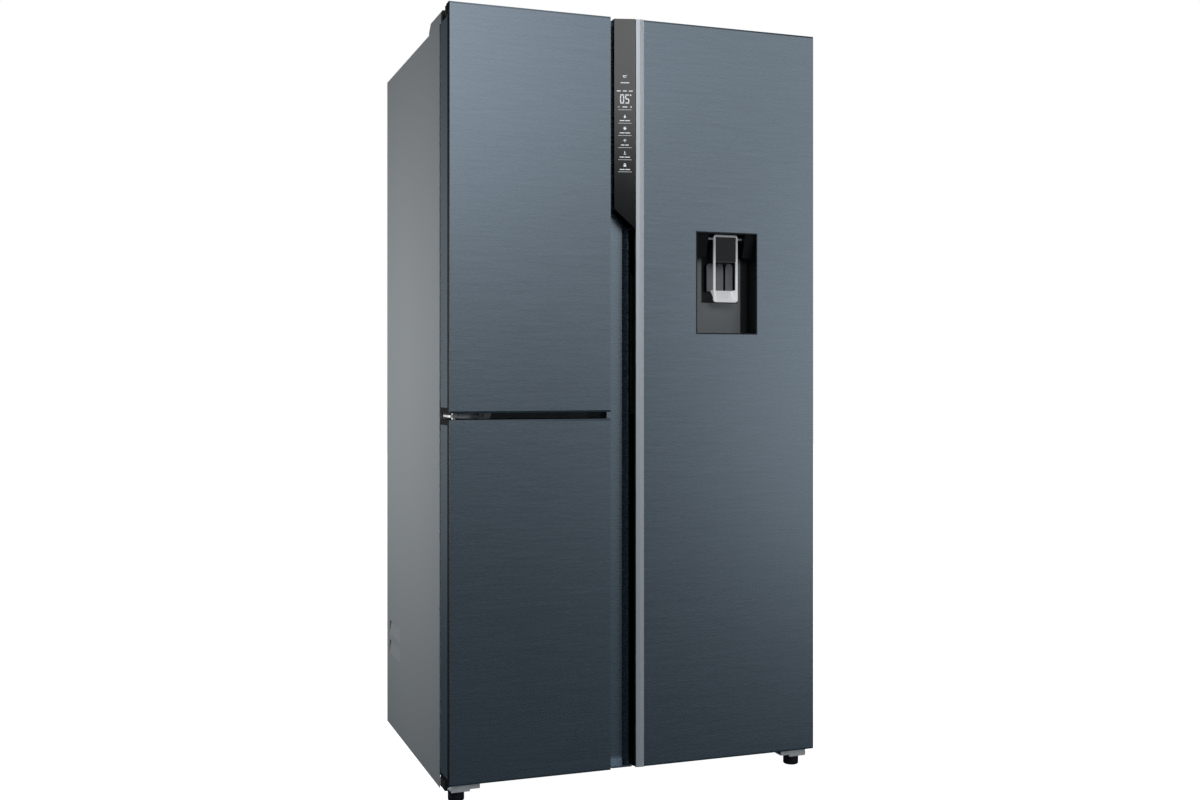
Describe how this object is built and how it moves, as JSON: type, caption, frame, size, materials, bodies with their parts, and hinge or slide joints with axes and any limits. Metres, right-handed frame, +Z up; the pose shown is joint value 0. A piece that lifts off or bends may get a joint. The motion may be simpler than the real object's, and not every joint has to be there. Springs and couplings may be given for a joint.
{
  "type": "side by side refrigerator",
  "caption": "Side by side refrigerator with stacked left doors, a tall right door with display strip and water dispenser, and inner shelves, door bins and drawers.",
  "frame": {"origin": "on the floor, under the middle of the width and depth", "axes": "+X to the right seen from the front, +Y to the back, so the doors face -Y, +Z up"},
  "size_m": [0.905, 0.726, 1.78],
  "materials": {
    "cabinet_grey": "satin paint",
    "zinc_sheet": "galvanised",
    "foam": "rigid foam",
    "white_liner": "moulded",
    "lamp_cover": "diffusing",
    "evaporator_metal": "mill",
    "shelf_glass": "clear",
    "satin_silver": "satin",
    "clear_plastic": "clear",
    "black_metal": "semi-gloss",
    "black_plastic": "moulded",
    "door_finish": "coated, brushed, blue grey",
    "seal_grey": "soft",
    "grip_grey": "moulded",
    "black_glass": "glossy",
    "bright_lever": "polished"
  },
  "bodies": {
    "cabinet": {"cabinet_shell": "cabinet_grey", "rear_panel": "zinc_sheet", "bottom_pan": "zinc_sheet", "compressor_base": "zinc_sheet", "insulation_foam": "foam", "fridge_liner": "white_liner", "freezer_liner": "white_liner", "lower_liner": "white_liner", "divider_strips": "cabinet_grey", "evaporator_cover": "white_liner", "evaporator": "evaporator_metal", "fridge_air_duct": "white_liner", "lamps": "lamp_cover", "glass_shelves": "shelf_glass", "shelf_trims": "satin_silver", "compressor": "black_metal", "condenser": "black_metal", "fan_mounts": "black_plastic", "drain_pan": "black_plastic", "machine_cover": "zinc_sheet", "control_box": "white_liner", "cord_gland": "black_plastic", "top_hinges": "zinc_sheet", "middle_hinge": "zinc_sheet", "bottom_hinges": "zinc_sheet", "hinge_covers": "cabinet_grey"},
    "evaporator_fan": {"evaporator_fan": "black_plastic"},
    "condenser_fan": {"condenser_fan": "black_plastic"},
    "rear_rollers": {"rear_rollers": "black_plastic"},
    "left_foot": {"left_foot": "black_plastic"},
    "right_foot": {"right_foot": "black_plastic"},
    "upper_door": {"upper_door_panel": "door_finish", "upper_door_frame": "black_plastic", "upper_door_foam": "foam", "upper_door_liner": "white_liner", "upper_door_gasket": "seal_grey", "upper_door_bins": "clear_plastic"},
    "lower_door": {"lower_door_panel": "door_finish", "lower_door_frame": "black_plastic", "lower_door_foam": "foam", "lower_door_liner": "white_liner", "lower_door_gasket": "seal_grey", "lower_door_bins": "clear_plastic"},
    "right_door": {"right_door_panel": "door_finish", "right_door_frame": "black_plastic", "right_door_foam": "foam", "right_door_liner": "white_liner", "right_door_gasket": "seal_grey", "right_door_bins": "clear_plastic", "handle_channel": "door_finish", "edge_trim": "satin_silver", "grip_insert": "grip_grey", "display_panel": "black_glass", "dispenser_housing": "black_plastic", "water_tank": "clear_plastic"},
    "dispenser_lever": {"dispenser_lever": "bright_lever"},
    "upper_crisper": {"upper_crisper": "clear_plastic"},
    "lower_crisper": {"lower_crisper": "clear_plastic"},
    "freezer_drawer": {"freezer_drawer": "clear_plastic"},
    "lower_drawer": {"lower_drawer": "clear_plastic"}
  },
  "joints": [
    {"name": "upper_door_hinge", "type": "hinge", "parent": "cabinet", "child": "upper_door", "pos_m": [-0.4325, -0.321, 1.325], "axis": [0, 0, -1], "range_deg": [0, 115]},
    {"name": "lower_door_hinge", "type": "hinge", "parent": "cabinet", "child": "lower_door", "pos_m": [-0.4325, -0.321, 0.45], "axis": [0, 0, -1], "range_deg": [0, 115]},
    {"name": "right_door_hinge", "type": "hinge", "parent": "cabinet", "child": "right_door", "pos_m": [0.4325, -0.321, 0.9], "axis": [0, 0, 1], "range_deg": [0, 115]},
    {"name": "upper_crisper_slide", "type": "slide", "parent": "cabinet", "child": "upper_crisper", "axis": [0, -1, 0], "range_m": [0, 0.2]},
    {"name": "lower_crisper_slide", "type": "slide", "parent": "cabinet", "child": "lower_crisper", "axis": [0, -1, 0], "range_m": [0, 0.2]},
    {"name": "freezer_drawer_slide", "type": "slide", "parent": "cabinet", "child": "freezer_drawer", "axis": [0, -1, 0], "range_m": [0, 0.2]},
    {"name": "lower_drawer_slide", "type": "slide", "parent": "cabinet", "child": "lower_drawer", "axis": [0, -1, 0], "range_m": [0, 0.2]},
    {"name": "dispenser_lever_hinge", "type": "hinge", "parent": "right_door", "child": "dispenser_lever", "pos_m": [0.224, -0.334, 1.282], "axis": [1, 0, 0], "range_deg": [0, 6], "stiffness_Nm_per_rad": 0.6},
    {"name": "evaporator_fan_spin", "type": "hinge", "parent": "cabinet", "child": "evaporator_fan", "pos_m": [-0.248, 0.263, 1.2685], "axis": [0, 1, 0], "continuous": true},
    {"name": "condenser_fan_spin", "type": "hinge", "parent": "cabinet", "child": "condenser_fan", "pos_m": [-0.0215, 0.249, 0.15], "axis": [1, 0, 0], "continuous": true},
    {"name": "rear_rollers_spin", "type": "hinge", "parent": "cabinet", "child": "rear_rollers", "pos_m": [0, 0.315, 0.02], "axis": [1, 0, 0], "continuous": true},
    {"name": "left_foot_screw", "type": "hinge", "parent": "cabinet", "child": "left_foot", "pos_m": [-0.4225, -0.302, 0.02], "axis": [0, 0, 1], "continuous": true},
    {"name": "right_foot_screw", "type": "hinge", "parent": "cabinet", "child": "right_foot", "pos_m": [0.4225, -0.302, 0.02], "axis": [0, 0, 1], "continuous": true}
  ],
  "couplings": [
    {"joint": "upper_crisper_slide", "follows": "right_door_hinge", "m_per_rad": 0.0996},
    {"joint": "lower_crisper_slide", "follows": "right_door_hinge", "m_per_rad": 0.0996},
    {"joint": "freezer_drawer_slide", "follows": "upper_door_hinge", "m_per_rad": 0.0996},
    {"joint": "lower_drawer_slide", "follows": "lower_door_hinge", "m_per_rad": 0.0996}
  ]
}
